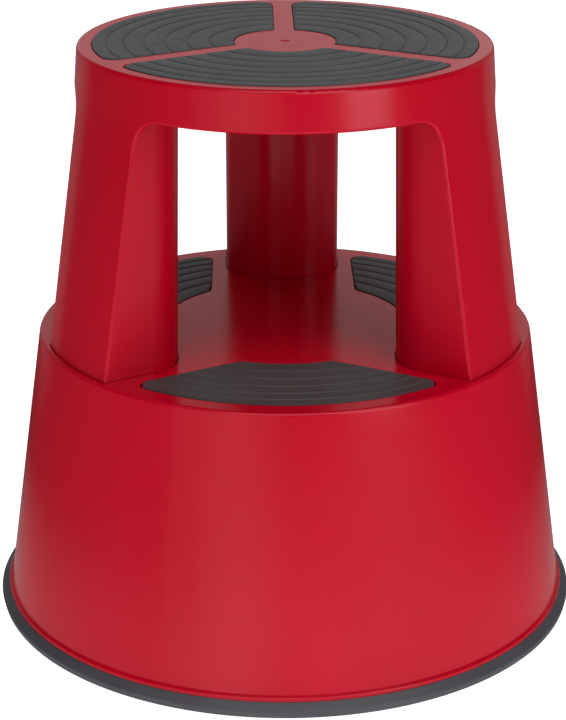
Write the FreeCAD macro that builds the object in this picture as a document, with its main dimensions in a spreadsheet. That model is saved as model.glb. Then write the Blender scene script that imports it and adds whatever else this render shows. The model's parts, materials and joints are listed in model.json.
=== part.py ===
"""Kick step stool: two plastic shells on a rubber ring, with three sprung castors inside the base.

Frame: millimetres, +Z up, floor at Z = 0 and the stool's axis on Z. The three legs stand at 90, 210 and
330 degrees about Z, so an open side faces -Y. Each castor hangs under an open side, at 270, 30 and 150
degrees. The castors hold the rubber ring clear of the floor until somebody stands on the stool.
"""
import FreeCAD
import Part
import math
import os

import Sketcher
from FreeCAD import Placement, Rotation, Vector

DRIVING = {
    # whole stool
    "stool_height": 430.0,
    "fold": 3,
    # upper shell: deck, band and hollow legs
    "deck_edge_radius": 148.7,
    "deck_plate": 5.0,
    "deck_edge_round": 2.6,
    "pad_rise": 0.6,
    "kink_radius": 151.6,
    "kink_height": 392.0,
    "kink_round": 200.0,
    "window_top": 400.0,
    "window_round": 18.0,
    "leg_outer_at_step": 178.4,
    "upper_wall": 3.0,
    "leg_half_width": 44.4,
    "leg_nose_front": 98.2,
    "leg_nose_slope": 0.5,
    "leg_nose_round": 50.0,
    "leg_nose_corner": 32.0,
    "leg_nose_lean": 4.4,
    "leg_edge_round": 2.2,
    "deck_rib_depth": 9.0,
    "deck_ring_radius": 60.0,
    "screw_post_radius": 6.0,
    "screw_post_height": 55.0,
    "pilot_depth": 40.0,
    # lower shell: step, skirt and castor towers
    "step_height": 216.6,
    "step_plate": 5.0,
    "step_edge_radius": 182.7,
    "step_edge_round": 2.4,
    "skirt_foot_radius": 212.9,
    "skirt_foot": 8.0,
    "skirt_wall": 3.5,
    "skirt_bead": 1.9,
    "bead_top": 18.0,
    "bead_foot": 14.2,
    "foot_recess": 3.0,
    "foot_gap": 0.6,
    "rib": 3.0,
    "hub_ring_radius": 80.0,
    "hub_ring_drop": 16.0,
    "tower_rib_drop": 34.0,
    "leg_rib_drop": 30.0,
    "lug_radius": 4.6,
    "lug_height": 36.0,
    "lug_pilot_depth": 24.0,
    "leg_boss_radius": 8.0,
    "leg_boss_drop": 7.0,
    # rubber ring
    "ring_radius": 220.0,
    "ring_crease": 9.5,
    "ring_sole_radius": 218.8,
    "ring_clearance": 4.0,
    "ring_bore": 206.3,
    "ring_brow": 13.9,
    "ring_top": 22.0,
    # tread pads
    "pad_thickness": 3.0,
    "pad_gap": 0.4,
    "top_pad_inner": 36.8,
    "top_pad_outer": 137.5,
    "top_pad_offset": 7.8,
    "top_pad_inner_round": 1.6,
    "top_pad_outer_round": 9.0,
    "top_pad_ribs": 7,
    "step_pad_inner": 90.5,
    "step_pad_outer": 167.5,
    "step_pad_offset": 56.3,
    "step_pad_inner_round": 9.0,
    "step_pad_outer_round": 8.0,
    "step_pad_ribs": 6,
    "seat_rim_round": 0.7,
    "tread_spread": 1.2,
    "tread_groove": 1.8,
    "tread_depth": 0.8,
    # castors
    "castor_circle": 150.0,
    "wheel_radius": 20.0,
    "wheel_width": 16.0,
    "hub_radius": 14.0,
    "axle_radius": 3.0,
    "rivet_head": 1.5,
    "rivet_head_radius": 5.0,
    "trail": 15.0,
    "fork_plate": 2.0,
    "fork_gap": 1.2,
    "crown_height": 46.0,
    "crown_plate": 2.5,
    "crown_radius": 14.5,
    "stem_radius": 5.0,
    "running": 0.05,
    "plunger_radius": 11.0,
    "collar_radius": 15.0,
    "collar": 4.0,
    "chamber_radius": 15.4,
    "chamber_floor": 70.0,
    "chamber_roof": 126.0,
    "housing_radius": 19.0,
    "flange_radius": 27.5,
    "flange_under": 57.0,
    "flange": 3.5,
    "tower_wall": 3.0,
    "spring_radius": 12.3,
    "spring_wire": 1.1,
    "spring_turns": 7,
    # screws
    "housing_screw_circle": 23.0,
    "housing_screw_radius": 1.9,
    "housing_screw_head": 2.2,
    "housing_screw_head_radius": 3.6,
    "housing_screw_length": 26.0,
    "leg_screw_spread": 35.5,
    "leg_screw_reach": 150.0,
    "leg_screw_radius": 2.4,
    "leg_screw_length": 44.0,
    "leg_screw_head": 2.6,
    "leg_screw_head_radius": 4.4,
    "washer": 1.2,
    "washer_radius": 6.5,
}

SIDES = ("front", "right", "left")
TURN = 120.0
FRONT = 270.0


class Size:
    """A dimension kept both as a number and as the sheet formula that gives it."""

    def __init__(self, value, formula):
        self.value = float(value)
        self.formula = formula

    def __add__(self, other):
        other = as_size(other)
        return Size(self.value + other.value, f"({self.formula} + {other.formula})")

    def __sub__(self, other):
        other = as_size(other)
        return Size(self.value - other.value, f"({self.formula} - {other.formula})")

    def __mul__(self, other):
        other = as_size(other)
        return Size(self.value * other.value, f"({self.formula} * {other.formula})")

    def __truediv__(self, other):
        other = as_size(other)
        return Size(self.value / other.value, f"({self.formula} / {other.formula})")

    def __neg__(self):
        return Size(-self.value, f"(0 - {self.formula})")

    def __rsub__(self, other):
        return as_size(other) - self

    __radd__ = __add__
    __rmul__ = __mul__


def as_size(item):
    """A plain number as a Size."""
    if isinstance(item, Size):
        return item
    return Size(item, f"({item})")


def named(alias):
    """The driving dimension of that name."""
    return Size(DRIVING[alias], "Sizes." + alias)


def root(item):
    return Size(math.sqrt(item.value), f"sqrt({item.formula})")


def cosine(degrees):
    return Size(math.cos(math.radians(degrees)), f"cos({degrees})")


def sine(degrees):
    return Size(math.sin(math.radians(degrees)), f"sin({degrees})")


class Plan:
    """A sketch on one of its body's origin planes, with every point tied to the sheet."""

    def __init__(self, body, name, role, offset=None):
        plane = next(item for item in body.Origin.OriginFeatures if item.Role == role)
        self.sketch = body.newObject("Sketcher::SketchObject", name)
        self.sketch.AttachmentSupport = [(plane, "")]
        self.sketch.MapMode = "FlatFace"
        if offset is not None:
            self.sketch.AttachmentOffset = Placement(Vector(0, 0, offset.value), Rotation())
            self.sketch.setExpression("AttachmentOffset.Base.z", offset.formula)

    def bind(self, kind, *items):
        """Adds a constraint whose last item is a Size, and ties it to the sheet."""
        length = items[-1]
        place = self.sketch.addConstraint(Sketcher.Constraint(kind, *items[:-1], length.value))
        self.sketch.setExpression(f"Constraints[{place}]", length.formula)

    def relate(self, kind, *items):
        self.sketch.addConstraint(Sketcher.Constraint(kind, *items))

    def place(self, item, end, across, up):
        """Fixes one point of the sketch by its two distances from the origin."""
        for kind, axis, distance in (("DistanceX", -2, across), ("DistanceY", -1, up)):
            distance = as_size(distance)
            if abs(distance.value) < 1e-9:
                self.relate("PointOnObject", item, end, axis)
            elif distance.value > 0:
                self.bind(kind, -1, 1, item, end, distance)
            else:
                self.bind(kind, item, end, -1, 1, -distance)

    def circle(self, across, up, radius):
        """A full circle about a point."""
        across, up, radius = as_size(across), as_size(up), as_size(radius)
        centre = Vector(across.value, up.value, 0)
        item = self.sketch.addGeometry(Part.Circle(centre, Vector(0, 0, 1), radius.value))
        self.place(item, 3, across, up)
        self.bind("Radius", item, radius)

    def outline(self, corners):
        """A closed outline of straight edges; a corner is (across, up) or (across, up, round)."""
        points = [Vector(as_size(corner[0]).value, as_size(corner[1]).value, 0) for corner in corners]
        count = len(points)
        arrive = list(points)
        leave = list(points)
        arcs = {}
        for index, corner in enumerate(corners):
            if len(corner) < 3:
                continue
            back = (points[index - 1] - points[index]).normalize()
            ahead = (points[(index + 1) % count] - points[index]).normalize()
            half = back.getAngle(ahead) / 2
            radius = as_size(corner[2]).value
            centre = points[index] + (back + ahead).normalize() * (radius / math.sin(half))
            arrive[index] = points[index] + back * (radius / math.tan(half))
            leave[index] = points[index] + ahead * (radius / math.tan(half))
            left_turn = back.cross(ahead).z < 0
            ends = (arrive[index], leave[index]) if left_turn else (leave[index], arrive[index])
            angles = [math.atan2(end.y - centre.y, end.x - centre.x) for end in ends]
            circle = Part.Circle(centre, Vector(0, 0, 1), radius)
            item = self.sketch.addGeometry(Part.ArcOfCircle(circle, *angles))
            arcs[index] = (item, left_turn)
        edges = []
        for index in range(count):
            edge = Part.LineSegment(leave[index], arrive[(index + 1) % count])
            edges.append(self.sketch.addGeometry(edge))
        for index, corner in enumerate(corners):
            before, after = edges[index - 1], edges[index]
            if index not in arcs:
                self.relate("Coincident", before, 2, after, 1)
                self.place(after, 1, corner[0], corner[1])
                continue
            item, left_turn = arcs[index]
            self.relate("Tangent", before, 2, item, 1 if left_turn else 2)
            self.relate("Tangent", after, 1, item, 2 if left_turn else 1)
            self.bind("Radius", item, as_size(corner[2]))
            tip = self.sketch.addGeometry(Part.Point(points[index]), True)
            self.place(tip, 1, corner[0], corner[1])
            self.relate("PointOnObject", tip, 1, before)
            self.relate("PointOnObject", tip, 1, after)

    def sector(self, inner, outer, offset, inner_round, outer_round):
        """The area between two arcs about the origin, open towards -Y.

        Its straight flanks run alongside the lines at 210 and 330 degrees, at a distance offset.
        """
        along = [Vector(side * cosine(30).value, -0.5, 0) for side in (-1, 1)]
        inward = [Vector(-side * 0.5, -cosine(30).value, 0) for side in (-1, 1)]

        def spot(side, reach, aside):
            """The point at a distance from the origin and a distance from the line of that side."""
            run = math.sqrt(reach ** 2 - aside ** 2)
            return along[side] * run + inward[side] * aside

        def heading(point, centre=Vector()):
            return math.atan2(point.y - centre.y, point.x - centre.x)

        def arc(centre, radius, first, last):
            circle = Part.Circle(centre, Vector(0, 0, 1), radius)
            start = heading(first, centre)
            stop = heading(last, centre)
            return self.sketch.addGeometry(Part.ArcOfCircle(circle, start, stop))

        reach = {
            "outer": (outer - outer_round, outer_round, outer),
            "inner": (inner + inner_round, inner_round, inner),
        }
        corner = {}
        on_arc = {}
        on_flank = {}
        for rim, (middle, radius, rim_radius) in reach.items():
            for side in (0, 1):
                centre = spot(side, middle.value, offset.value + radius.value)
                corner[rim, side] = centre
                on_arc[rim, side] = Vector(centre).normalize() * rim_radius.value
                on_flank[rim, side] = centre - inward[side] * radius.value
        origin = Vector()
        big = {
            rim: arc(origin, reach[rim][2].value, on_arc[rim, 0], on_arc[rim, 1])
            for rim in ("outer", "inner")
        }
        small = {}
        for side in (0, 1):
            ends = {"outer": (on_arc, on_flank), "inner": (on_flank, on_arc)}
            for rim, (first, last) in ends.items():
                pair = (first[rim, side], last[rim, side])
                if side == 0:
                    pair = pair[::-1]
                small[rim, side] = arc(corner[rim, side], reach[rim][1].value, *pair)
            flank = self.sketch.addGeometry(
                Part.LineSegment(on_flank["inner", side], on_flank["outer", side]))
            first, last = (1, 2) if side == 1 else (2, 1)
            self.relate("Tangent", flank, 2, small["outer", side], last)
            self.relate("Tangent", flank, 1, small["inner", side], first)
            self.relate("Tangent", big["outer"], 1 + side, small["outer", side], first)
            self.relate("Tangent", big["inner"], 1 + side, small["inner", side], last)
            self.bind("Distance", -1, 1, flank, offset)
            lean = self.sketch.addGeometry(Part.LineSegment(origin, along[side] * 10), True)
            self.relate("Coincident", lean, 1, -1, 1)
            self.place(lean, 2, Size(along[side].x * 10, f"({2 * side - 1} * 10 * cos(30))"), -5)
            self.relate("Parallel", lean, flank)
            for rim in ("outer", "inner"):
                self.bind("Radius", small[rim, side], reach[rim][1])
        for rim in ("outer", "inner"):
            self.relate("Coincident", big[rim], 3, -1, 1)
            self.bind("Radius", big[rim], reach[rim][2])


def new_body(label):
    """An empty body whose label is the name of its node."""
    body = doc.addObject("PartDesign::Body", label)
    body.Label = label
    return body


def finish_feature(body, feature):
    """Makes a feature the body's tip and returns it."""
    body.Tip = feature
    doc.recompute()
    return feature


def pad(body, plan, length, name):
    feature = body.newObject("PartDesign::Pad", name)
    feature.Profile = plan.sketch
    feature.setExpression("Length", as_size(length).formula)
    return finish_feature(body, feature)


def revolve(body, plan, name, axis="V_Axis"):
    feature = body.newObject("PartDesign::Revolution", name)
    feature.Profile = plan.sketch
    feature.ReferenceAxis = (plan.sketch, [axis])
    feature.Angle = 360
    return finish_feature(body, feature)


def loft(body, lower, upper, name):
    """A straight-sided loft between two plans."""
    feature = body.newObject("PartDesign::AdditiveLoft", name)
    feature.Profile = lower.sketch
    feature.Sections = [upper.sketch]
    feature.Ruled = True
    return finish_feature(body, feature)


def checked_cut(body, feature, volume_before):
    """Stops the build if a cutting feature removed nothing."""
    finish_feature(body, feature)
    if not body.Shape.Volume < volume_before - 0.01:
        raise RuntimeError(f"{feature.Name} cuts nothing")
    return feature


def pocket(body, plan, length, name, upwards=False):
    """A cut from the sketch plane, against its normal, or along it when upwards is set."""
    volume_before = body.Shape.Volume
    feature = body.newObject("PartDesign::Pocket", name)
    feature.Profile = plan.sketch
    feature.setExpression("Length", as_size(length).formula)
    feature.Reversed = upwards
    return checked_cut(body, feature, volume_before)


def groove(body, plan, name, axis="V_Axis"):
    volume_before = body.Shape.Volume
    feature = body.newObject("PartDesign::Groove", name)
    feature.Profile = plan.sketch
    feature.ReferenceAxis = (plan.sketch, [axis])
    feature.Angle = 360
    return checked_cut(body, feature, volume_before)


def polar(body, originals, count, name):
    """Repeats features evenly about the Z axis."""
    feature = body.newObject("PartDesign::PolarPattern", name)
    feature.Originals = originals
    axis = next(item for item in body.Origin.OriginFeatures if item.Role == "Z_Axis")
    feature.Axis = (axis, [""])
    feature.Angle = 360
    feature.setExpression("Occurrences", as_size(count).formula)
    return finish_feature(body, feature)


def round_edges(body, radius, name, chosen):
    """Rounds the edges of the body that a test picks out."""
    base = body.Tip
    names = [f"Edge{place + 1}" for place, edge in enumerate(base.Shape.Edges) if chosen(edge)]
    if not names:
        raise RuntimeError(f"{name} finds no edge")
    feature = body.newObject("PartDesign::Fillet", name)
    feature.Base = (base, names)
    feature.setExpression("Radius", as_size(radius).formula)
    return finish_feature(body, feature)


def flat_edge(level, nearest, farthest, allowed=None):
    """A test for the edges that lie flat at a level, between two distances from the axis."""

    def chosen(edge):
        first, last = edge.FirstParameter, edge.LastParameter
        spots = [edge.valueAt(first + (last - first) * share) for share in (0.02, 0.3, 0.6, 0.98)]
        if any(abs(spot.z - level.value) > 0.001 for spot in spots):
            return False
        if any(not nearest < math.hypot(spot.x, spot.y) < farthest for spot in spots):
            return False
        return allowed is None or all(allowed(spot) for spot in spots)

    return chosen


def beside_leg(spot):
    """True for a point on the rim of a leg's recess, clear of the step's outer edge."""
    reach = named("leg_half_width").value + named("foot_gap").value + 0.01
    for azimuth in (90, 210, 330):
        along = Vector(math.cos(math.radians(azimuth)), math.sin(math.radians(azimuth)), 0)
        aside = abs(along.x * spot.y - along.y * spot.x)
        if along.dot(spot) > 0 and aside < reach:
            return math.hypot(spot.x, spot.y) < recess_radius.value - 0.01
    return False


def turn_to_side(body, index):
    """Turns a body that was made for the front to one of the three sides."""
    body.Placement = Placement(Vector(), Rotation(Vector(0, 0, 1), TURN * index))


def place_at_castor(body, index, along=0, up=0):
    """Puts a castor's piece at its station; its own +X then points along the castor's trail."""
    azimuth = FRONT + TURN * index
    body.Placement = Placement(Vector(), Rotation(Vector(0, 0, 1), azimuth + 90))
    circle = named("castor_circle")
    across = circle * cosine(azimuth) - along * sine(azimuth)
    depth = circle * sine(azimuth) + along * cosine(azimuth)
    body.setExpression("Placement.Base.x", across.formula)
    body.setExpression("Placement.Base.y", depth.formula)
    body.setExpression("Placement.Base.z", as_size(up).formula)


# Heights and radii shared by several pieces.

deck_top = named("stool_height") - named("pad_rise")
deck_under = deck_top - named("deck_plate")
leg_foot = named("step_height") - named("foot_recess")
leg_slope = (named("leg_outer_at_step") - named("kink_radius")) / (
    named("kink_height") - named("step_height"))
step_under = named("step_height") - named("step_plate")
skirt_slope = (named("skirt_foot_radius") - named("step_edge_radius")) / (
    named("step_height") - named("skirt_foot"))
recess_radius = named("leg_outer_at_step") + named("foot_gap")
tower_foot = named("flange_under") + named("flange")
tower_bore = named("housing_radius") + 0.3
tower_radius = tower_bore + named("tower_wall")
leg_boss_foot = step_under - named("leg_boss_drop")
collar_foot = named("chamber_floor") + 0.2
plunger_foot = named("crown_height") + 1.4
plunger_top = collar_foot + 9.8
wheel_height = named("wheel_radius")


def leg_radius(height):
    """Outer radius of the leg cone at a height."""
    return named("leg_outer_at_step") + leg_slope * (named("step_height") - height)


def skirt_radius(height):
    """Outer radius of the skirt cone at a height."""
    return named("step_edge_radius") + skirt_slope * (named("step_height") - height)


def band_radius(height):
    """Outer radius of the deck band at a height."""
    rise = (height - named("kink_height")) / (deck_top - named("kink_height"))
    return named("kink_radius") + (named("deck_edge_radius") - named("kink_radius")) * rise


def leg_corners(grow, far, lean_in=0):
    """Corners of a leg's section, for the leg at 90 degrees, grown outwards by a distance.

    The nose moves towards the stool's axis by lean_in.
    """
    slope = named("leg_nose_slope")
    lean = root(slope * slope + 1)
    side = named("leg_half_width") + grow
    nose = named("leg_nose_front") - lean_in - named("leg_nose_round") * (lean - 1) - grow * lean
    shoulder = nose + slope * side
    corner_round = named("leg_nose_corner") + grow
    return [
        (-side, far),
        (-side, shoulder, corner_round),
        (as_size(0), nose, named("leg_nose_round") + grow),
        (side, shoulder, corner_round),
        (side, far),
    ]


def pad_seats(body, kind, level):
    """Three shallow seats for the tread pads, with softened rims."""
    gap = named("pad_gap")
    inner, outer = named(f"{kind}_pad_inner") - gap, named(f"{kind}_pad_outer") + gap
    plan = Plan(body, "pad_seat_plan", "XY_Plane", level)
    inner_round, outer_round = named(f"{kind}_pad_inner_round"), named(f"{kind}_pad_outer_round")
    plan.sector(inner, outer, named(f"{kind}_pad_offset") - gap, inner_round + gap, outer_round + gap)
    seat = pocket(body, plan, named("pad_thickness") - named("pad_rise"), "pad_seat")
    polar(body, [seat], named("fold"), "pad_seats")
    rim = flat_edge(level, inner.value - 1, outer.value + 1)
    round_edges(body, named("seat_rim_round"), "seat_rims", rim)


def upper_shell():
    """Deck, band and three hollow legs in one moulding."""
    body = new_body("upper_shell")
    wall = named("upper_wall")
    kink = named("kink_height")
    shell = Plan(body, "shell_section", "XZ_Plane")
    shell.outline([
        (leg_radius(leg_foot), leg_foot),
        (named("kink_radius"), kink, named("kink_round")),
        (named("deck_edge_radius"), deck_top, named("deck_edge_round")),
        (0, deck_top),
        (0, deck_under),
        (band_radius(deck_under) - wall, deck_under),
        (named("kink_radius") - wall, kink, named("kink_round") - wall),
        (leg_radius(leg_foot) - wall, leg_foot),
    ])
    revolve(body, shell, "shell")
    pad_seats(body, "top", deck_top)
    gate = Plan(body, "gate_section", "XZ_Plane")
    gate.outline([(1.1, deck_top + 1), (1.1, deck_top - 0.5), (3.2, deck_top - 0.5), (3.2, deck_top + 1)])
    groove(body, gate, "gate_mark")

    half = named("leg_half_width")
    mouth = Plan(body, "window_sides", "XZ_Plane", as_size(-20))
    for side in (-1, 1):
        mouth.outline([
            (half * side, leg_foot - 5),
            (half * side, named("window_top"), named("window_round")),
            (as_size(200 * side), named("window_top")),
            (as_size(200 * side), leg_foot - 5),
        ])
    windows = pocket(body, mouth, 200, "windows")
    polar(body, [windows], named("fold"), "three_windows")

    wall_top = deck_under + 1
    reach = named("leg_nose_front") + 38
    foot = Plan(body, "leg_nose_foot", "XY_Plane", leg_foot)
    foot.outline(leg_corners(0, reach) + leg_corners(-wall, reach)[::-1])
    head = Plan(body, "leg_nose_head", "XY_Plane", wall_top)
    lean_in = named("leg_nose_lean")
    head.outline(leg_corners(0, reach, lean_in) + leg_corners(-wall, reach, lean_in)[::-1])
    features = [loft(body, foot, head, "leg_nose")]
    middle = half - wall / 2

    def buried(radius):
        """Reach of a leg's side wall that ends inside the outer wall of that radius."""
        inner = radius - wall / 2
        return root(inner * inner - middle * middle)

    for name, near_face in (("left", -half), ("right", half - wall)):
        cheek = Plan(body, f"leg_{name}_section", "YZ_Plane", near_face)
        cheek.outline([
            (reach - 1, leg_foot),
            (buried(leg_radius(leg_foot)), leg_foot),
            (buried(named("kink_radius")), kink),
            (buried(band_radius(wall_top)), wall_top),
            (reach - 1, wall_top),
        ])
        features.append(pad(body, cheek, wall, f"leg_{name}"))

    spread = named("leg_screw_spread")
    posts = Plan(body, "screw_post_plan", "XY_Plane", leg_foot)
    for side in (-1, 1):
        posts.circle(spread * side, named("leg_screw_reach"), named("screw_post_radius"))
    features.append(pad(body, posts, named("screw_post_height"), "screw_posts"))
    polar(body, features, named("fold"), "three_legs")

    pilots = Plan(body, "pilot_plan", "XY_Plane", leg_foot)
    for side in (-1, 1):
        pilots.circle(spread * side, named("leg_screw_reach"), named("leg_screw_radius") + named("running"))
    holes = pocket(body, pilots, named("pilot_depth"), "pilots", upwards=True)
    polar(body, [holes], named("fold"), "all_pilots")

    rib_foot = deck_under - named("deck_rib_depth")
    rib_height = named("deck_rib_depth") + 0.5
    ring = named("deck_ring_radius")
    beam = Plan(body, "deck_rib_plan", "XY_Plane", rib_foot)
    half_rib = named("rib") / 2
    beam.outline([
        (-half_rib, -ring),
        (half_rib, -ring),
        (half_rib, -(named("kink_radius") - wall - 0.5)),
        (-half_rib, -(named("kink_radius") - wall - 0.5)),
    ])
    ribs = pad(body, beam, rib_height, "deck_rib")
    polar(body, [ribs], named("fold"), "deck_ribs")
    circle = Plan(body, "deck_ring_plan", "XY_Plane", rib_foot)
    circle.circle(0, 0, ring + named("rib"))
    circle.circle(0, 0, ring)
    pad(body, circle, rib_height, "deck_ring")

    def on_window_rim(edge):
        """True for an outer edge of a window: on the shell's outside, from foot to window top."""
        first, last = edge.FirstParameter, edge.LastParameter
        spots = [edge.valueAt(spot) for spot in (first, (first + last) / 2, last)]
        for spot in spots:
            cone = leg_radius if spot.z < kink.value else band_radius
            off_skin = math.hypot(spot.x, spot.y) - cone(as_size(spot.z)).value
            if spot.z > named("window_top").value + 0.01 or abs(off_skin) > 0.4:
                return False
        return max(spot.z for spot in spots) > leg_foot.value + 0.01

    round_edges(body, named("leg_edge_round"), "window_rims", on_window_rim)
    return body


def rib_upright(body, name, corners):
    """A thin upright rib in the YZ plane, centred on X = 0."""
    section = Plan(body, f"{name}_section", "YZ_Plane", -(named("rib") / 2))
    section.outline(corners)
    return pad(body, section, named("rib"), name)


def lower_shell():
    """Step, skirt, castor towers and ribs in one moulding."""
    body = new_body("lower_shell")
    top = named("step_height")
    disc = Plan(body, "step_section", "XZ_Plane")
    disc.outline([(0, step_under), (recess_radius, step_under), (recess_radius, top), (0, top)])
    revolve(body, disc, "step")
    pad_seats(body, "step", top)
    recess = Plan(body, "foot_recess_plan", "XY_Plane", top)
    recess.outline(leg_corners(named("foot_gap"), as_size(200)))
    seat = pocket(body, recess, named("foot_recess"), "foot_recess")
    polar(body, [seat], named("fold"), "foot_recesses")
    round_edges(body, named("seat_rim_round"), "recess_rims", flat_edge(top, 95, 180, beside_leg))

    wall = named("skirt_wall")
    bead_top, bead_foot = named("bead_top"), named("bead_foot")
    bead = skirt_radius(bead_foot) + named("skirt_bead")
    skirt = Plan(body, "skirt_section", "XZ_Plane")
    skirt.outline([
        (recess_radius - 8, step_under),
        (recess_radius - 8, step_under + 1),
        (recess_radius, step_under + 1),
        (recess_radius, top),
        (named("step_edge_radius"), top, named("step_edge_round")),
        (skirt_radius(bead_top), bead_top),
        (bead, bead_top - 1.4, as_size(1)),
        (bead, bead_foot),
        (skirt_radius(bead_foot), bead_foot),
        (named("skirt_foot_radius"), named("skirt_foot")),
        (named("skirt_foot_radius") - wall, named("skirt_foot")),
        (skirt_radius(step_under) - wall, step_under),
    ])
    revolve(body, skirt, "skirt")

    station = -named("castor_circle")
    tube = Plan(body, "tower_plan", "XY_Plane", tower_foot)
    tube.circle(0, station, tower_radius)
    tower = pad(body, tube, step_under - tower_foot + 1, "tower")
    lugs = Plan(body, "tower_lug_plan", "XY_Plane", tower_foot)
    for azimuth in (90, 210, 330):
        lugs.circle(named("housing_screw_circle") * cosine(azimuth),
                    station + named("housing_screw_circle") * sine(azimuth), named("lug_radius"))
    lug = pad(body, lugs, named("lug_height"), "tower_lugs")
    outer_rib = rib_upright(body, "skirt_rib", [
        (station - tower_radius + 1, step_under + 1),
        (wall / 2 - skirt_radius(step_under), step_under + 1),
        (wall / 2 - skirt_radius(as_size(100)), as_size(100)),
        (station - tower_radius + 1, as_size(76)),
    ])
    ring = named("hub_ring_radius")
    hub_foot = step_under - named("hub_ring_drop")
    inner_rib = rib_upright(body, "tower_rib", [
        (-ring, step_under + 1),
        (station + tower_radius - 1, step_under + 1),
        (station + tower_radius - 1, step_under - named("tower_rib_drop")),
        (-ring, hub_foot),
    ])
    polar(body, [tower, lug, outer_rib, inner_rib], named("fold"), "towers")

    rib_foot = step_under - named("leg_rib_drop")
    leg_rib = rib_upright(body, "leg_rib", [
        (ring, step_under + 1),
        (skirt_radius(step_under) - wall / 2, step_under + 1),
        (skirt_radius(rib_foot) - wall / 2, rib_foot),
        (ring, hub_foot),
    ])
    bosses = Plan(body, "leg_boss_plan", "XY_Plane", leg_boss_foot)
    for side in (-1, 1):
        bosses.circle(named("leg_screw_spread") * side, named("leg_screw_reach"), named("leg_boss_radius"))
    boss = pad(body, bosses, step_under - leg_boss_foot + 1, "leg_bosses")
    polar(body, [leg_rib, boss], named("fold"), "leg_supports")
    hub = Plan(body, "hub_ring_plan", "XY_Plane", hub_foot)
    hub.circle(0, 0, ring + named("rib") / 2)
    hub.circle(0, 0, ring - named("rib") / 2)
    pad(body, hub, named("hub_ring_drop") + 1, "hub_ring")

    bore = Plan(body, "tower_bore_plan", "XY_Plane", tower_foot)
    bore.circle(0, station, tower_bore)
    bores = pocket(body, bore, step_under - tower_foot, "tower_bore", upwards=True)
    pilot = Plan(body, "lug_pilot_plan", "XY_Plane", tower_foot)
    for azimuth in (90, 210, 330):
        pilot.circle(named("housing_screw_circle") * cosine(azimuth),
                     station + named("housing_screw_circle") * sine(azimuth),
                     named("housing_screw_radius") + named("running"))
    pilots = pocket(body, pilot, named("lug_pilot_depth"), "lug_pilots", upwards=True)
    screws = Plan(body, "leg_screw_plan", "XY_Plane", leg_boss_foot - 1)
    for side in (-1, 1):
        screws.circle(named("leg_screw_spread") * side, named("leg_screw_reach"),
                      named("leg_screw_radius") + 0.3)
    holes = pocket(body, screws, top - leg_boss_foot + 2, "leg_screw_holes", upwards=True)
    polar(body, [bores, pilots, holes], named("fold"), "all_bores")
    return body


def bumper_ring():
    """Rubber ring that grips the foot of the skirt and bears on the floor under load."""
    body = new_body("bumper_ring")
    gap = as_size(0.08)
    wall = named("skirt_wall")
    sole = named("ring_clearance")
    groove_top = named("skirt_foot")
    brow, top = named("ring_brow"), named("ring_top")
    section = Plan(body, "ring_section", "XZ_Plane")
    section.outline([
        (named("ring_bore"), sole, as_size(1)),
        (named("ring_sole_radius"), sole, as_size(1.2)),
        (named("ring_radius"), named("ring_crease"), as_size(1.2)),
        (skirt_radius(brow) + 1.6, brow, as_size(0.5)),
        (skirt_radius(brow) + gap, brow),
        (skirt_radius(groove_top) + gap, groove_top - gap),
        (skirt_radius(groove_top) - wall - gap, groove_top - gap),
        (skirt_radius(top) - wall - gap, top),
        (named("ring_bore"), top, as_size(0.6)),
    ])
    revolve(body, section, "ring")
    return body


def tread_pad(kind, index, level):
    """One rubber tread pad, with concentric grooves between its ribs."""
    body = new_body(f"{kind}_pad_{SIDES[index]}")
    inner, outer = named(f"{kind}_pad_inner"), named(f"{kind}_pad_outer")
    foot = level - named("pad_thickness") + named("pad_rise")
    plan = Plan(body, "pad_plan", "XY_Plane", foot)
    inner_round, outer_round = named(f"{kind}_pad_inner_round"), named(f"{kind}_pad_outer_round")
    plan.sector(inner, outer, named(f"{kind}_pad_offset"), inner_round, outer_round)
    pad(body, plan, named("pad_thickness"), "sheet")
    ribs = named(f"{kind}_pad_ribs")
    face = level + named("pad_rise")
    half = named("tread_groove") / 2
    spread = named("tread_spread")
    cuts = Plan(body, "groove_section", "XZ_Plane")
    for step in range(1, int(ribs.value)):
        share = 1 - step / ribs.value
        position = Size(1 - share ** spread.value, f"(1 - (1 - {step} / {ribs.formula}) ^ {spread.formula})")
        middle = inner + (outer - inner) * position
        cuts.outline([
            (middle - half, face + 0.2),
            (middle - half * 0.25, face - named("tread_depth")),
            (middle + half * 0.25, face - named("tread_depth")),
            (middle + half, face + 0.2),
        ])
    groove(body, cuts, "tread_grooves")
    turn_to_side(body, index)
    return body


def castor_housing(index):
    """Closed sleeve that guides the plunger and holds the spring."""
    body = new_body(f"castor_housing_{SIDES[index]}")
    neck = named("plunger_radius") + named("running")
    foot = named("flange_under")
    section = Plan(body, "housing_section", "XZ_Plane")
    section.outline([
        (neck, foot),
        (named("flange_radius"), foot),
        (named("flange_radius"), tower_foot, as_size(0.8)),
        (named("housing_radius"), tower_foot),
        (named("housing_radius"), named("chamber_roof") + 3, as_size(2)),
        (0, named("chamber_roof") + 3),
        (0, named("chamber_roof")),
        (named("chamber_radius"), named("chamber_roof")),
        (named("chamber_radius"), named("chamber_floor")),
        (neck, named("chamber_floor")),
    ])
    revolve(body, section, "sleeve")
    holes = Plan(body, "flange_hole_plan", "XY_Plane", foot - 1)
    for azimuth in (90, 210, 330):
        holes.circle(named("housing_screw_circle") * cosine(azimuth),
                     named("housing_screw_circle") * sine(azimuth),
                     named("housing_screw_radius") + 0.2)
    pocket(body, holes, named("flange") + 2, "flange_holes", upwards=True)
    return body


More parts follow.
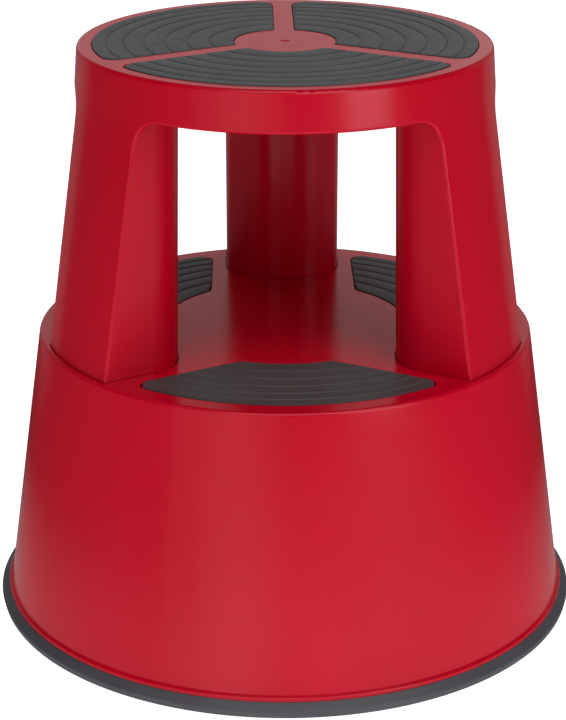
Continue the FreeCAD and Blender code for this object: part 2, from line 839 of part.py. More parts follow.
def castor_plunger(index):
    """Collared bush that slides in the housing and carries the castor's stem."""
    body = new_body(f"castor_plunger_{SIDES[index]}")
    bore = named("stem_radius") + named("running")
    section = Plan(body, "plunger_section", "XZ_Plane")
    section.outline([
        (bore, plunger_foot),
        (named("plunger_radius"), plunger_foot, as_size(0.8)),
        (named("plunger_radius"), collar_foot),
        (named("collar_radius"), collar_foot),
        (named("collar_radius"), collar_foot + named("collar"), as_size(0.8)),
        (as_size(8.5), collar_foot + named("collar")),
        (as_size(8.5), plunger_top, as_size(0.8)),
        (bore, plunger_top),
    ])
    revolve(body, section, "bush")
    return body


def castor_spring(index):
    """Coil spring between the plunger's collar and the housing's roof."""
    body = new_body(f"castor_spring_{SIDES[index]}")
    wire = named("spring_wire")
    seat = collar_foot + named("collar") + 0.1 + wire
    rise = named("chamber_roof") - wire - 0.1 - seat
    section = Plan(body, "wire_section", "XZ_Plane")
    section.circle(named("spring_radius"), seat, wire)
    coil = body.newObject("PartDesign::AdditiveHelix", "coil")
    coil.Profile = section.sketch
    coil.ReferenceAxis = (section.sketch, ["V_Axis"])
    coil.Mode = "height-turns-angle"
    coil.setExpression("Height", rise.formula)
    coil.setExpression("Turns", named("spring_turns").formula)
    finish_feature(body, coil)
    return body


def castor_stem(index):
    """Steel pin riveted into the fork's crown, with a clip groove at its top."""
    body = new_body(f"castor_stem_{SIDES[index]}")
    radius = named("stem_radius")
    crown_under = named("crown_height") - named("crown_plate")
    neck = plunger_top + 0.4
    section = Plan(body, "stem_section", "XZ_Plane")
    section.outline([
        (0, crown_under - 2.3),
        (as_size(7), crown_under - 2.3, as_size(1.4)),
        (as_size(7), crown_under),
        (radius, crown_under),
        (radius, neck),
        (as_size(4), neck),
        (as_size(4), neck + 1.3),
        (radius, neck + 1.3),
        (radius, neck + 4, as_size(1)),
        (0, neck + 4),
    ])
    revolve(body, section, "pin")
    return body


def castor_clip(index):
    """Open retaining ring in the stem's groove."""
    body = new_body(f"castor_clip_{SIDES[index]}")
    plan = Plan(body, "clip_plan", "XY_Plane", plunger_top + 0.5)
    plan.circle(0, 0, 8)
    plan.circle(0, 0, 4.05)
    pad(body, plan, 1.1, "ring")
    slot = Plan(body, "clip_slot_plan", "XY_Plane", plunger_top)
    slot.outline([(2, -3.4), (10, -3.4), (10, 3.4), (2, 3.4)])
    pocket(body, slot, 3, "slot", upwards=True)
    return body


def castor_washer(index):
    """Thrust washer between the fork's crown and the plunger."""
    body = new_body(f"castor_washer_{SIDES[index]}")
    plan = Plan(body, "washer_plan", "XY_Plane", named("crown_height"))
    plan.circle(0, 0, 12)
    plan.circle(0, 0, named("stem_radius") + 0.1)
    pad(body, plan, named("washer"), "washer")
    return body


def castor_fork(index):
    """Pressed fork: a crown plate and two cheeks that hold the axle."""
    body = new_body(f"castor_fork_{SIDES[index]}")
    crown = Plan(body, "crown_plan", "XY_Plane", named("crown_height") - named("crown_plate"))
    crown.circle(0, 0, named("crown_radius"))
    pad(body, crown, named("crown_plate"), "crown")
    inner_face = named("wheel_width") / 2 + named("fork_gap")
    trail = named("trail")
    for name, near_face in (("near", inner_face), ("far", -(inner_face + named("fork_plate")))):
        cheek = Plan(body, f"{name}_cheek_section", "XZ_Plane", near_face)
        cheek.outline([
            (-11, named("crown_height")),
            (-11, as_size(37), as_size(8)),
            (trail - 8.5, wheel_height - 7.2, as_size(6)),
            (trail + 7.2, wheel_height - 7.2, as_size(6)),
            (trail + 7.2, wheel_height + 7, as_size(8)),
            (11, named("crown_height")),
        ])
        pad(body, cheek, named("fork_plate"), f"{name}_cheek")
    stem_hole = Plan(body, "stem_hole_plan", "XY_Plane", named("crown_height") + 1)
    stem_hole.circle(0, 0, named("stem_radius") + named("running"))
    pocket(body, stem_hole, named("crown_plate") + 2, "stem_hole")
    axle_hole = Plan(body, "axle_hole_section", "XZ_Plane", -as_size(20))
    axle_hole.circle(trail, wheel_height, named("axle_radius") + named("running"))
    pocket(body, axle_hole, 40, "axle_hole", upwards=True)
    return body


def castor_axle(index):
    """Rivet through the fork's cheeks, with a head at each end."""
    body = new_body(f"castor_axle_{SIDES[index]}")
    face = named("wheel_width") / 2 + named("fork_gap") + named("fork_plate")
    radius = named("axle_radius")
    head = named("rivet_head_radius")
    end = face + named("rivet_head")
    section = Plan(body, "axle_section", "XY_Plane")
    section.outline([
        (0, -end),
        (head, -end, as_size(0.8)),
        (head, -face),
        (radius, -face),
        (radius, face),
        (head, face),
        (head, end, as_size(0.8)),
        (0, end),
    ])
    revolve(body, section, "rivet")
    return body


def castor_wheel(index):
    """Plastic hub that turns on the axle."""
    body = new_body(f"castor_wheel_{SIDES[index]}")
    half = named("wheel_width") / 2
    bore = named("axle_radius") + named("running")
    rim = named("hub_radius")
    section = Plan(body, "hub_section", "XY_Plane")
    section.outline([
        (bore, -half),
        (as_size(5.5), -half),
        (as_size(6), 4 - half),
        (rim - 2.5, 4 - half),
        (rim - 2, 1.5 - half),
        (rim, 1.5 - half),
        (rim, half - 1.5),
        (rim - 2, half - 1.5),
        (rim - 2.5, half - 4),
        (as_size(6), half - 4),
        (as_size(5.5), half),
        (bore, half),
    ])
    revolve(body, section, "hub")
    return body


def castor_tyre(index):
    """Soft tyre on the hub."""
    body = new_body(f"castor_tyre_{SIDES[index]}")
    half = named("wheel_width") / 2 - 0.5
    section = Plan(body, "tyre_section", "XY_Plane")
    section.outline([
        (named("hub_radius") + 0.05, -half),
        (named("wheel_radius"), -half, as_size(3)),
        (named("wheel_radius"), half, as_size(3)),
        (named("hub_radius") + 0.05, half),
    ])
    revolve(body, section, "tyre")
    return body


def cross_slot(body, centres, under, depth, name):
    """A cross recess cut up into each screw head."""
    plan = Plan(body, f"{name}_plan", "XY_Plane", under)
    arm, half = 2.0, 0.5
    for across, up in centres:
        corners = []
        for quarter in range(4):
            turn = Rotation(Vector(0, 0, 1), -90 * quarter)
            for point in (Vector(half, half, 0), Vector(arm, half, 0), Vector(arm, -half, 0)):
                spot = turn.multVec(point)
                corners.append((across + round(spot.x, 6), up + round(spot.y, 6)))
        plan.outline(corners)
    return pocket(body, plan, depth, name, upwards=True)


def housing_screws():
    """Screws that hold the three castor housings to their towers."""
    body = new_body("housing_screws")
    station = -named("castor_circle")
    circle = named("housing_screw_circle")
    centres = [(circle * cosine(azimuth), station + circle * sine(azimuth)) for azimuth in (90, 210, 330)]
    head = (named("housing_screw_head"), named("housing_screw_head_radius"))
    under = named("flange_under") - head[0]
    length = named("housing_screw_length")
    return screw_group(body, centres, under, head, named("housing_screw_radius"), length)


def leg_screws():
    """Screws driven up from inside the base into the legs."""
    body = new_body("leg_screws")
    spread = named("leg_screw_spread")
    centres = [(spread * side, named("leg_screw_reach")) for side in (-1, 1)]
    head = (named("leg_screw_head"), named("leg_screw_head_radius"))
    under = leg_boss_foot - named("washer") - head[0]
    return screw_group(body, centres, under, head, named("leg_screw_radius"), named("leg_screw_length"))


def screw_group(body, centres, under, head_size, radius, length):
    """Pan-head screws at some centres, repeated round the stool. A head has a height and a radius."""
    head, head_radius = head_size
    heads = Plan(body, "head_plan", "XY_Plane", under)
    shanks = Plan(body, "shank_plan", "XY_Plane", under + head - 0.2)
    for across, up in centres:
        heads.circle(across, up, head_radius)
        shanks.circle(across, up, radius)
    features = [pad(body, heads, head, "heads"), pad(body, shanks, length, "shanks")]
    features.append(cross_slot(body, centres, under, 1.2, "cross"))
    polar(body, features, named("fold"), "round_the_stool")
    return body


def leg_washers():
    """Washers under the heads of the leg screws."""
    body = new_body("leg_washers")
    plan = Plan(body, "washer_plan", "XY_Plane", leg_boss_foot - named("washer"))
    for side in (-1, 1):
        across = named("leg_screw_spread") * side
        plan.circle(across, named("leg_screw_reach"), named("washer_radius"))
        plan.circle(across, named("leg_screw_reach"), named("leg_screw_radius") + 0.2)
    washers = pad(body, plan, named("washer"), "washers")
    polar(body, [washers], named("fold"), "round_the_stool")
    return body


doc = FreeCAD.newDocument("KickStepStool")
sheet = doc.addObject("Spreadsheet::Sheet", "Sizes")
for row, (alias, value) in enumerate(DRIVING.items(), start=1):
    sheet.set(f"A{row}", alias)
    sheet.set(f"B{row}", str(value))
    sheet.setAlias(f"B{row}", alias)
doc.recompute()

sub_parts = [upper_shell(), lower_shell(), bumper_ring()]
for index in range(3):
    sub_parts.append(tread_pad("top", index, deck_top))
    sub_parts.append(tread_pad("step", index, named("step_height")))
    for make in (castor_housing, castor_plunger, castor_spring, castor_stem, castor_clip,
                 castor_washer, castor_fork):
        piece = make(index)
        place_at_castor(piece, index)
        sub_parts.append(piece)
    for make in (castor_axle, castor_wheel, castor_tyre):
        piece = make(index)
        place_at_castor(piece, index, along=named("trail"), up=wheel_height)
        sub_parts.append(piece)
sub_parts += [housing_screws(), leg_screws(), leg_washers()]
doc.recompute()

for item in doc.Objects:
    if "Invalid" in item.State or "Error" in item.State:
        raise RuntimeError(f"{item.Label} has failed: {item.State}")
for piece in sub_parts:
    if piece.Shape.isNull() or not piece.Shape.isValid():
        raise RuntimeError(f"{piece.Label} has no valid shape")

os.makedirs("parts", exist_ok=True)
for piece in sub_parts:
    piece.Shape.exportStep(f"parts/{piece.Label}.step")
    print(f"{piece.Label}: {piece.Shape.Volume / 1000:.2f} cm3 in {len(piece.Shape.Solids)} solid(s)")
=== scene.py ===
"""Kick step stool: the looks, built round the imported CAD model. Metres, +Z up, open front towards -Y."""

import json
import math

import bmesh
import bpy
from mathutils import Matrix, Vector


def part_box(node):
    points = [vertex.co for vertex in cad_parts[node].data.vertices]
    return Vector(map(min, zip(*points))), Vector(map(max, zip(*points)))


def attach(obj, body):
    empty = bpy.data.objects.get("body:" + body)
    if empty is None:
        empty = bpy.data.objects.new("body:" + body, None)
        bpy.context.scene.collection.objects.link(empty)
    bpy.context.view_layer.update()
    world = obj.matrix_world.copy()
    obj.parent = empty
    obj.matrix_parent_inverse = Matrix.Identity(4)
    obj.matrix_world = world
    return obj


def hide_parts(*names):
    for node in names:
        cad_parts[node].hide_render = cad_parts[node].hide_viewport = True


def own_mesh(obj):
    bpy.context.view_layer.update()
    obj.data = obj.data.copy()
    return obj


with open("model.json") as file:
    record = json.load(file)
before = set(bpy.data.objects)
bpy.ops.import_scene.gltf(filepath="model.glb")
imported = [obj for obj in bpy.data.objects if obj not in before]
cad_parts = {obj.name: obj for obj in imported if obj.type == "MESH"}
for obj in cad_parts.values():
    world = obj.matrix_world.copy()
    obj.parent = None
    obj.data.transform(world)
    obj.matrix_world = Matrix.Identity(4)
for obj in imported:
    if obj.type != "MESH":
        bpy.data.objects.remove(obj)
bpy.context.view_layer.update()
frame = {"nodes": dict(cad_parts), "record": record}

MM = 0.001
SIDES = ("front", "right", "left")
SECTOR = math.radians(120)    # from one side to the next, about the stool's axis
FRONT = math.radians(270)     # bearing of the first side

# The camera was solved from the circles and rims of the stool in the photograph.
CAMERA_PLACE = (-0.0276, -1.5077, 0.7623)
CAMERA_DIRECTION = (0.01617, 0.93289, -0.3599)
CAMERA_LENS = 106.93
CAMERA_SHIFT = 0.0081

WORLD_LIGHT = 0.03            # brightness of the world as the stool gets it
WORLD_SEEN = 0.9              # and as the camera sees it
LIGHT_TARGET = (0, 0, 0.2)

# name, azimuth (0 in front, 90 at +X), distance, height, width, tall, watts, and the part of each surface
# that it lights: all, or only the diffuse or only the glossy part
SOFTBOXES = (
    ("high_right", 42, 1.55, 2.9, 1.9, 1.2, 30, "diffuse"),
    ("high_left", -42, 1.55, 2.9, 2.1, 1.2, 24, "diffuse"),
    ("high_shine", 14, 1.65, 2.9, 3.4, 2.2, 55, "gloss"),
    ("left", -26.5, 3.0, 0.4, 2.6, 2.4, 7.5, "all"),
    ("left_core", -24, 2.9, 0.4, 1.1, 2.4, 3.2, "all"),
    ("right", 40, 3.2, 1.3, 1.9, 2.4, 26, "all"),
    ("low_right", 43, 2.6, 0.4, 1.1, 0.6, 6, "gloss"),
    ("front", -10, 3.4, 1.5, 2.0, 1.6, 7, "diffuse"),
    ("rear_left", -152, 3.2, 0.5, 2.3, 2.6, 3, "all"),
    ("rear_right", 152, 3.2, 0.5, 2.3, 2.6, 3, "all"),
    ("back", 180, 3.0, 2.4, 7.0, 4.4, 75, "diffuse"),
    ("back_shine", 180, 3.6, 1.2, 3.2, 1.05, 4.4, "gloss"),
)

# name, place, radius of the even core, radius where it ends, strength, and whether diffuse surfaces get it
FLOOR_GLOWS = (
    ("pool", (0, -0.2, 0.001), 0.28, 0.58, 0.35, True),
    ("apron", (0.38, -0.9, 0.002), 0.55, 0.8, 0.35, False),
)

# A tread's rounded edge: how far in from the outline, and how far below the top.
PAD_EDGE = ((0.0, 0.45 * MM), (0.0, 0.22 * MM), (0.13 * MM, 0.06 * MM), (0.45 * MM, 0.0))
PAD_COLUMNS = 56              # steps along a tread between its rounded edges
# A groove in a tread: half widths across, and the share of its depth.
GROOVE = ((-1, 0), (-0.75, 0.1), (-0.5, 0.38), (-0.25, 0.8), (0, 1),
          (0.25, 0.8), (0.5, 0.38), (0.75, 0.1), (1, 0))
GROOVE_WIDTH = 3.0 * MM
GROOVE_DEPTH = 0.8 * MM
# Painted shade: the feet of the grooves are darkened as if shaded.
GROOVE_PAINTED_SHADE = 0.6            # how far a groove's foot is darkened, of 1
RIB_TAPER = 1.2               # above 1, the ribs grow narrower outwards

WIRE = 1.1 * MM               # radius of a spring's wire
WIRE_SIDES = 12
COILS = 7
COIL_STEPS = 28               # steps in one coil

SHARP = math.radians(40)      # edges sharper than this aren't smoothed

# The colour sockets of a Mix node, which share their names with its other sockets.
MIX_FIRST = 6
MIX_SECOND = 7
MIX_RESULT = 2


# ---------------------------------------------------------------- node materials

class Shade:
    """A node material: a Principled shader with patterns in object coordinates, in metres."""

    SOCKETS = {"specular": "Specular IOR Level", "metallic": "Metallic", "roughness": "Roughness",
               "glow": "Emission Strength", "glow_colour": "Emission Color"}

    def __init__(self, name, **values):
        self.material = bpy.data.materials.new(name)
        self.material.use_nodes = True
        self.tree = self.material.node_tree
        self.shader = self.tree.nodes["Principled BSDF"]
        for key, value in values.items():
            self.shader.inputs[self.SOCKETS[key]].default_value = value
        self.place = self.tree.nodes.new("ShaderNodeTexCoord").outputs["Object"]

    def link(self, source, target):
        self.tree.links.new(source, target)

    def node(self, kind, *sources, **values):
        """Adds a node, links or sets its first sockets in order, and sets properties or inputs by name."""
        made = self.tree.nodes.new(kind)
        for name, value in values.items():
            if hasattr(made, name):
                setattr(made, name, value)
            else:
                made.inputs[name].default_value = value
        for index, source in enumerate(sources):
            if isinstance(source, (int, float)):
                made.inputs[index].default_value = source
            elif source is not None:
                self.link(source, made.inputs[index])
        return made

    def noise(self, scale, detail, stretch=None):
        """Noise with a number of cells to the metre."""
        spot = self.place
        if stretch:
            spot = self.node("ShaderNodeMapping", spot, Scale=stretch).outputs[0]
        return self.node("ShaderNodeTexNoise", spot, Scale=scale, Detail=detail).outputs["Fac"]

    def ramp(self, source, low, high, start=0.3, stop=0.7):
        """A colour that goes from low to high as the source goes from start to stop."""
        made = self.node("ShaderNodeValToRGB", source)
        for mark, position, colour in zip(made.color_ramp.elements, (start, stop), (low, high)):
            mark.position = position
            mark.color = (*colour, 1)
        return made.outputs[0]

    def span(self, source, low, high, start=0.3, stop=0.7):
        """A number that goes from low to high as the source goes from start to stop."""
        return self.node("ShaderNodeMapRange", source, start, stop, low, high).outputs[0]

    def colour(self, source):
        self.link(source, self.shader.inputs["Base Color"])

    def rough(self, source):
        self.link(source, self.shader.inputs["Roughness"])

    def bump(self, height, strength, depth):
        """A surface grain from a height pattern; its depth is in metres."""
        made = self.node("ShaderNodeBump", Strength=strength, Distance=depth)
        self.link(height, made.inputs["Height"])
        self.link(made.outputs[0], self.shader.inputs["Normal"])


def red_plastic():
    """Satin moulded polypropylene: a fine grain, faint flow marks and a slightly uneven gloss."""
    shade = Shade("red_plastic", specular=0.3)
    flow = shade.noise(9, 3, (1, 1, 0.35))
    shade.colour(shade.ramp(flow, (0.430, 0.0, 0.011), (0.470, 0.0, 0.015)))
    shade.rough(shade.span(shade.noise(60, 4), 0.19, 0.23))
    shade.bump(shade.noise(1400, 2), 0.08, 0.06 * MM)
    return shade.material


def tread_rubber():
    """Satin rubber with a fine grain, a little dust on its ribs, and painted shade in its grooves and over
    the whole of each step tread.
    """
    shade = Shade("tread_rubber", specular=0.5)
    ribs = shade.ramp(shade.noise(45, 5), (0.056, 0.058, 0.061), (0.070, 0.072, 0.075))
    # Painted shade, read from each point: the grooves' feet and the whole of each step tread turn darker.
    painted_shade = shade.node("ShaderNodeAttribute", attribute_name="groove").outputs["Fac"]
    mixed = shade.node("ShaderNodeMix", data_type="RGBA")
    shade.link(painted_shade, mixed.inputs["Factor"])
    shade.link(ribs, mixed.inputs[MIX_FIRST])
    mixed.inputs[MIX_SECOND].default_value = (0.016, 0.016, 0.017, 1)
    shade.colour(mixed.outputs[MIX_RESULT])
    shade.rough(shade.span(shade.noise(160, 3), 0.42, 0.52))
    shade.bump(shade.noise(900, 3), 0.25, 0.10 * MM)
    return shade.material


def ring_rubber():
    """Rubber of the floor ring, rougher than the treads and with a fainter grain."""
    shade = Shade("ring_rubber", specular=0.4)
    shade.colour(shade.ramp(shade.noise(25, 4), (0.052, 0.050, 0.060), (0.064, 0.062, 0.072)))
    shade.rough(shade.span(shade.noise(120, 3), 0.48, 0.60))
    shade.bump(shade.noise(700, 3), 0.18, 0.10 * MM)
    return shade.material


def tyre_rubber():
    """Matt rubber of the castor tyres, finely mottled."""
    shade = Shade("tyre_rubber", specular=0.4)
    shade.colour(shade.ramp(shade.noise(220, 4), (0.055, 0.055, 0.058), (0.085, 0.085, 0.09)))
    shade.rough(shade.span(shade.noise(300, 3), 0.6, 0.78))
    shade.bump(shade.noise(1100, 3), 0.3, 0.1 * MM)
    return shade.material


def black_plastic():
    """Black moulded plastic of the castors, with a fine grain."""
    shade = Shade("black_plastic", specular=0.45)
    shade.colour(shade.ramp(shade.noise(90, 3), (0.018, 0.018, 0.019), (0.028, 0.028, 0.030)))
    shade.rough(shade.span(shade.noise(140, 3), 0.4, 0.52))
    shade.bump(shade.noise(1200, 2), 0.18, 0.08 * MM)
    return shade.material


def zinc_steel():
    """Zinc-plated pressed steel with a faint crystal mottling."""
    shade = Shade("zinc_steel", metallic=1.0)
    crystals = shade.node("ShaderNodeTexVoronoi", shade.place, Scale=420).outputs["Distance"]
    shade.colour(shade.ramp(crystals, (0.50, 0.51, 0.53), (0.62, 0.63, 0.64), 0.1, 0.8))
    shade.rough(shade.span(shade.noise(180, 4), 0.24, 0.42))
    shade.bump(shade.noise(900, 3), 0.12, 0.06 * MM)
    return shade.material


def spring_wire():
    """Drawn steel wire, unevenly bright."""
    shade = Shade("spring_wire", metallic=1.0)
    shade.colour(shade.ramp(shade.noise(260, 4), (0.30, 0.31, 0.33), (0.44, 0.45, 0.47)))
    shade.rough(shade.span(shade.noise(400, 3), 0.28, 0.44))
    shade.bump(shade.noise(2400, 2), 0.15, 0.05 * MM)
    return shade.material


def screw_steel():
    """Bright zinc screws, a little scratched."""
    shade = Shade("screw_steel", metallic=1.0)
    scratches = shade.noise(900, 4, (1, 0.15, 1))
    shade.colour(shade.ramp(scratches, (0.50, 0.49, 0.44), (0.66, 0.65, 0.60)))
    shade.rough(shade.span(scratches, 0.22, 0.4))
    shade.bump(scratches, 0.12, 0.05 * MM)
    return shade.material


MATERIALS = {
    "shell_plastic": red_plastic(),
    "tread_rubber": tread_rubber(),
    "ring_rubber": ring_rubber(),
    "castor_plastic": black_plastic(),
    "castor_steel": zinc_steel(),
    "spring_steel": spring_wire(),
    "tyre_rubber": tyre_rubber(),
    "screw_steel": screw_steel(),
}


def dress_cad_nodes():
    """Gives each CAD node the material of its slot in the record."""
    for part in frame["record"]["subparts"]:
        node = frame["nodes"][part["node"]]
        node.data.materials.clear()
        node.data.materials.append(MATERIALS[part["material_slot"]])


# ---------------------------------------------------------------- camera, floor and light

def add_object(name, data, place=(0, 0, 0)):
    """Puts an object with this mesh, light or camera into the scene."""
    item = bpy.data.objects.new(name, data)
    bpy.context.scene.collection.objects.link(item)
    item.location = place
    return item


def aim(item, target):
    """Turns a camera or light so that it looks at a point."""
    item.rotation_mode = "QUATERNION"
    item.rotation_quaternion = (Vector(target) - item.location).to_track_quat("-Z", "Y")


def make_camera():
    """The photograph's view, with colours shown as they are."""
    data = bpy.data.cameras.new("camera")
    data.sensor_width = 36
    data.lens = CAMERA_LENS
    data.shift_y = CAMERA_SHIFT
    data.clip_start = 0.05
    data.clip_end = 60
    camera = add_object("camera", data, CAMERA_PLACE)
    aim(camera, camera.location + Vector(CAMERA_DIRECTION))
    bpy.context.scene.camera = camera
    bpy.context.scene.view_settings.view_transform = "Standard"


def flat_square(name, reach, place, material):
    """A square lying flat, twice as wide as its reach, that isn't part of the stool."""
    mesh = bpy.data.meshes.new(name)
    corners = [(-reach, -reach, 0), (reach, -reach, 0), (reach, reach, 0), (-reach, reach, 0)]
    mesh.from_pydata(corners, [], [(0, 1, 2, 3)])
    mesh.materials.append(material)
    square = add_object(name, mesh, place)
    return square


def make_floor():
    """A pale floor with a little light of its own, left out of the stool's reflections."""
    shade = Shade("floor_white", roughness=0.6, glow=0.70, glow_colour=(1, 1, 1, 1))
    shade.colour(shade.ramp(shade.noise(3, 2), (0.80, 0.80, 0.80), (0.86, 0.86, 0.86)))
    floor = flat_square("floor", 14, (0, 0, 0), shade.material)
    floor.visible_glossy = False


def floor_glow(name, place, core, reach, strength, diffuse):
    """A pool of light on the floor that only the stool sees: even out to its core, gone at its reach."""
    shade = Shade(name)
    distance = shade.node("ShaderNodeVectorMath", shade.place, operation="LENGTH").outputs["Value"]
    glow = shade.node("ShaderNodeEmission", None, shade.span(distance, strength, 0.0, core, reach))
    clear = shade.node("ShaderNodeBsdfTransparent")
    both = shade.node("ShaderNodeAddShader", glow.outputs[0], clear.outputs[0])
    shade.link(both.outputs[0], shade.tree.nodes["Material Output"].inputs["Surface"])
    pool = flat_square(name, reach, place, shade.material)
    pool.visible_camera = False
    pool.visible_diffuse = diffuse
    pool.visible_shadow = False


def softbox(name, azimuth, distance, height, width, tall, watts, lights):
    """A rectangular area light aimed at the stool, unseen by the camera."""
    data = bpy.data.lights.new(name, "AREA")
    data.shape = "RECTANGLE"
    data.size = width
    data.size_y = tall
    data.energy = watts
    turn = math.radians(azimuth)
    light = add_object(name, data, (math.sin(turn) * distance, -math.cos(turn) * distance, height))
    light.visible_camera = False
    light.visible_glossy = lights != "diffuse"
    light.visible_diffuse = lights != "gloss"
    aim(light, LIGHT_TARGET)


def make_world():
    """A white world that the camera sees brighter than the stool does."""
    world = bpy.data.worlds.new("studio")
    bpy.context.scene.world = world
    world.use_nodes = True
    tree = world.node_tree
    background = tree.nodes["Background"]
    background.inputs["Color"].default_value = (1, 1, 1, 1)
    seen = tree.nodes.new("ShaderNodeLightPath").outputs["Is Camera Ray"]
    level = tree.nodes.new("ShaderNodeMapRange")
    level.inputs["To Min"].default_value = WORLD_LIGHT
    level.inputs["To Max"].default_value = WORLD_SEEN
    tree.links.new(seen, level.inputs["Value"])
    tree.links.new(level.outputs[0], background.inputs["Strength"])


def make_light():
    """The studio: the world, the softboxes and the glows on the floor."""
    make_world()
    for box in SOFTBOXES:
        softbox(*box)
    for glow in FLOOR_GLOWS:
        floor_glow(*glow)


# ---------------------------------------------------------------- meshes

def make_piece(name, points, faces, body, slot, replaced):
    """A smooth-shaded mesh that stands for a CAD node and rides its body."""
    mesh = bpy.data.meshes.new(name)
    mesh.from_pydata(points, [], faces)
    mesh.validate()
    mesh.update()
    mesh.materials.append(MATERIALS[slot])
    piece = add_object(name, mesh)
    outward = bmesh.new()
    outward.from_mesh(mesh)
    bmesh.ops.recalc_face_normals(outward, faces=outward.faces)
    outward.to_mesh(mesh)
    outward.free()
    mesh.shade_smooth()
    mesh.set_sharp_from_angle(angle=SHARP)
    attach(piece, body)
    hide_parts(replaced)
    return piece


def grid_faces(rows, width, closed=False):
    """Quads between neighbouring rows of points. Closed rows end where they begin."""
    return [(row * width + column, row * width + (column + 1) % width,
             (row + 1) * width + (column + 1) % width, (row + 1) * width + column)
            for row in range(rows - 1) for column in range(width if closed else width - 1)]


def grid_rim(rows, width):
    """The points round the outside of a grid, in order."""
    return (list(range(width))
            + [row * width + width - 1 for row in range(1, rows)]
            + [(rows - 1) * width + column for column in range(width - 2, -1, -1)]
            + [row * width for row in range(rows - 2, 0, -1)])


class Tread:
    """One kind of tread. Its outline is two arcs about the stool's axis and two straight flanks, parallel
    to the edges of its third of the circle and at an offset from them, with rounded corners."""

    def __init__(self, kind, ribs, painted_darkening, inner, outer, offset, inner_round, outer_round):
        self.kind = kind
        self.ribs = ribs
        # Painted shade over the whole tread, of 1.
        self.painted_darkening = painted_darkening
        self.inner = inner
        self.outer = outer
        self.offset = offset
        # Each corner is an arc: the distance of its centre from the axis, its radius, and 1 if it is an
        # outer one or -1 if it is an inner one.
        self.corners = ((inner + inner_round, inner_round, -1), (outer - outer_round, outer_round, 1))

    def half_angle(self, radius):
        """Angle from the pad's middle line to its outline at a radius."""
        limit = SECTOR / 2 - math.asin(self.offset / radius)
        for middle, corner, outward in self.corners:
            aside = self.offset + corner
            touch = math.hypot(math.sqrt(middle ** 2 - aside ** 2), self.offset)  # where it leaves the flank
            if (radius - touch) * outward > 0:
                lean = (radius ** 2 + middle ** 2 - corner ** 2) / (2 * radius * middle)
                bearing = SECTOR / 2 - math.asin(aside / middle)
                limit = bearing + math.acos(max(-1.0, min(1.0, lean)))
        return limit

    def section(self):
        """(radius, drop, painted shade) points across the pad: a rib, a groove, a rib and so on."""
        points = [(self.inner + run, drop, self.painted_darkening) for run, drop in PAD_EDGE]
        for rib in range(1, self.ribs):
            share = 1 - (1 - rib / self.ribs) ** RIB_TAPER
            middle = self.inner + (self.outer - self.inner) * share
            # Painted shade: a groove's foot is darker than its rims, and never lighter than the tread's
            # painted darkening.
            points += [(middle + across * GROOVE_WIDTH / 2, drop * GROOVE_DEPTH,
                        max(self.painted_darkening, drop * GROOVE_PAINTED_SHADE)) for across, drop in GROOVE]
        points += [(self.outer - run, drop, self.painted_darkening) for run, drop in reversed(PAD_EDGE)]
        return points

    def bearings(self, radius):
        """(bearing, fall) points along the pad at a radius, from one flank to the other."""
        limit = self.half_angle(radius)
        flank = [(-limit + run / radius, fall) for run, fall in PAD_EDGE]
        span = limit - PAD_EDGE[-1][0] / radius
        middle = [(-span + 2 * span * step / PAD_COLUMNS, 0.0) for step in range(1, PAD_COLUMNS)]
        return flank + middle + [(-turn, fall) for turn, fall in reversed(flank)]


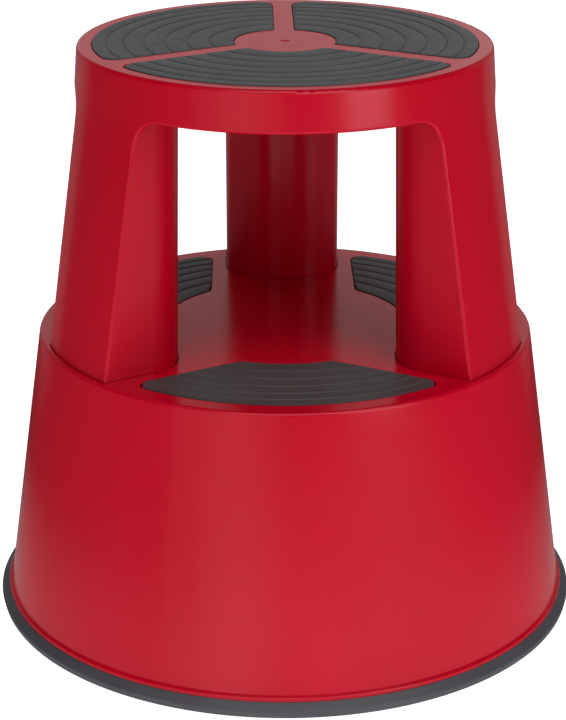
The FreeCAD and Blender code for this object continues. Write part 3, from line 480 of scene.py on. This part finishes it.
def tread_pad(tread, index):
    """One rubber tread, ribbed across and rounded along every edge."""
    name = f"{tread.kind}_pad_{SIDES[index]}"
    low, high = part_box(name)
    facing = FRONT + SECTOR * index
    section = tread.section()
    top = [[(math.cos(facing + turn) * radius, math.sin(facing + turn) * radius, high.z - drop - fall)
            for turn, fall in tread.bearings(radius)] for radius, drop, painted_shade in section]
    rows = len(top)
    width = len(top[0])
    points = [point for row in top for point in row]
    rim = grid_rim(rows, width)
    count = len(rim)
    foot = range(len(points), len(points) + count)
    points += [(points[spot][0], points[spot][1], low.z) for spot in rim]
    faces = grid_faces(rows, width)
    faces += [(rim[step], foot[step], foot[(step + 1) % count], rim[(step + 1) % count])
              for step in range(count)]
    faces.append(tuple(foot))
    piece = make_piece(f"{name}_rubber", points, faces, "root", "tread_rubber", name)
    # Painted shade for each point of the top, which the tread_rubber material reads.
    groove = piece.data.attributes.new("groove", "FLOAT", "POINT")
    for spot in range(rows * width):
        groove.data[spot].value = section[spot // width][-1]


def coil_rise(share, end_rise):
    """How far up a spring its wire is, of 1, after a share of its turns. The first and the last turn rise
    only by end_rise, so that each touches its neighbour and closes the end."""
    closed = 1 / COILS
    if share < closed:
        return end_rise * share / closed
    if share > 1 - closed:
        return 1 - end_rise * (1 - share) / closed
    return end_rise + (share - closed) / (1 - 2 * closed) * (1 - 2 * end_rise)


def coil_spring(index):
    """A wire coil with closed ends, between the plunger's collar and the housing's roof."""
    name = f"castor_spring_{SIDES[index]}"
    low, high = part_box(name)
    centre = (low + high) / 2
    length = high.z - low.z
    radius = (high.x - low.x) / 2 - WIRE
    climb = length - 2 * WIRE
    count = COILS * COIL_STEPS
    points = []
    for step in range(count + 1):
        share = step / count
        turn = share * COILS * 2 * math.pi
        outward = Vector((math.cos(turn), math.sin(turn), 0))
        rise = climb * coil_rise(share, 2 * WIRE / climb)
        middle = Vector((centre.x, centre.y, low.z + WIRE + rise)) + outward * radius
        for side in range(WIRE_SIDES):
            bearing = 2 * math.pi * side / WIRE_SIDES
            points.append(middle + outward * (WIRE * math.cos(bearing))
                          + Vector((0, 0, WIRE * math.sin(bearing))))
    faces = grid_faces(count + 1, WIRE_SIDES, closed=True)
    faces.append(tuple(range(WIRE_SIDES)))
    faces.append(tuple(range(count * WIRE_SIDES, (count + 1) * WIRE_SIDES)))
    piece = make_piece(f"{name}_coil", points, faces, "root", "spring_steel", name)
    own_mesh(piece)


# The sizes and numbers of ribs are those of the CAD model.
# The step treads carry painted shade all over; the top treads carry none.
TREADS = (
    Tread("top", ribs=7, painted_darkening=0.0, inner=36.8 * MM, outer=137.5 * MM, offset=7.8 * MM,
          inner_round=1.6 * MM, outer_round=9 * MM),
    Tread("step", ribs=6, painted_darkening=0.4, inner=90.5 * MM, outer=167.5 * MM, offset=56.3 * MM,
          inner_round=9 * MM, outer_round=8 * MM),
)

make_camera()
make_floor()
make_light()
dress_cad_nodes()
for index in range(len(SIDES)):
    for tread in TREADS:
        tread_pad(tread, index)
    coil_spring(index)
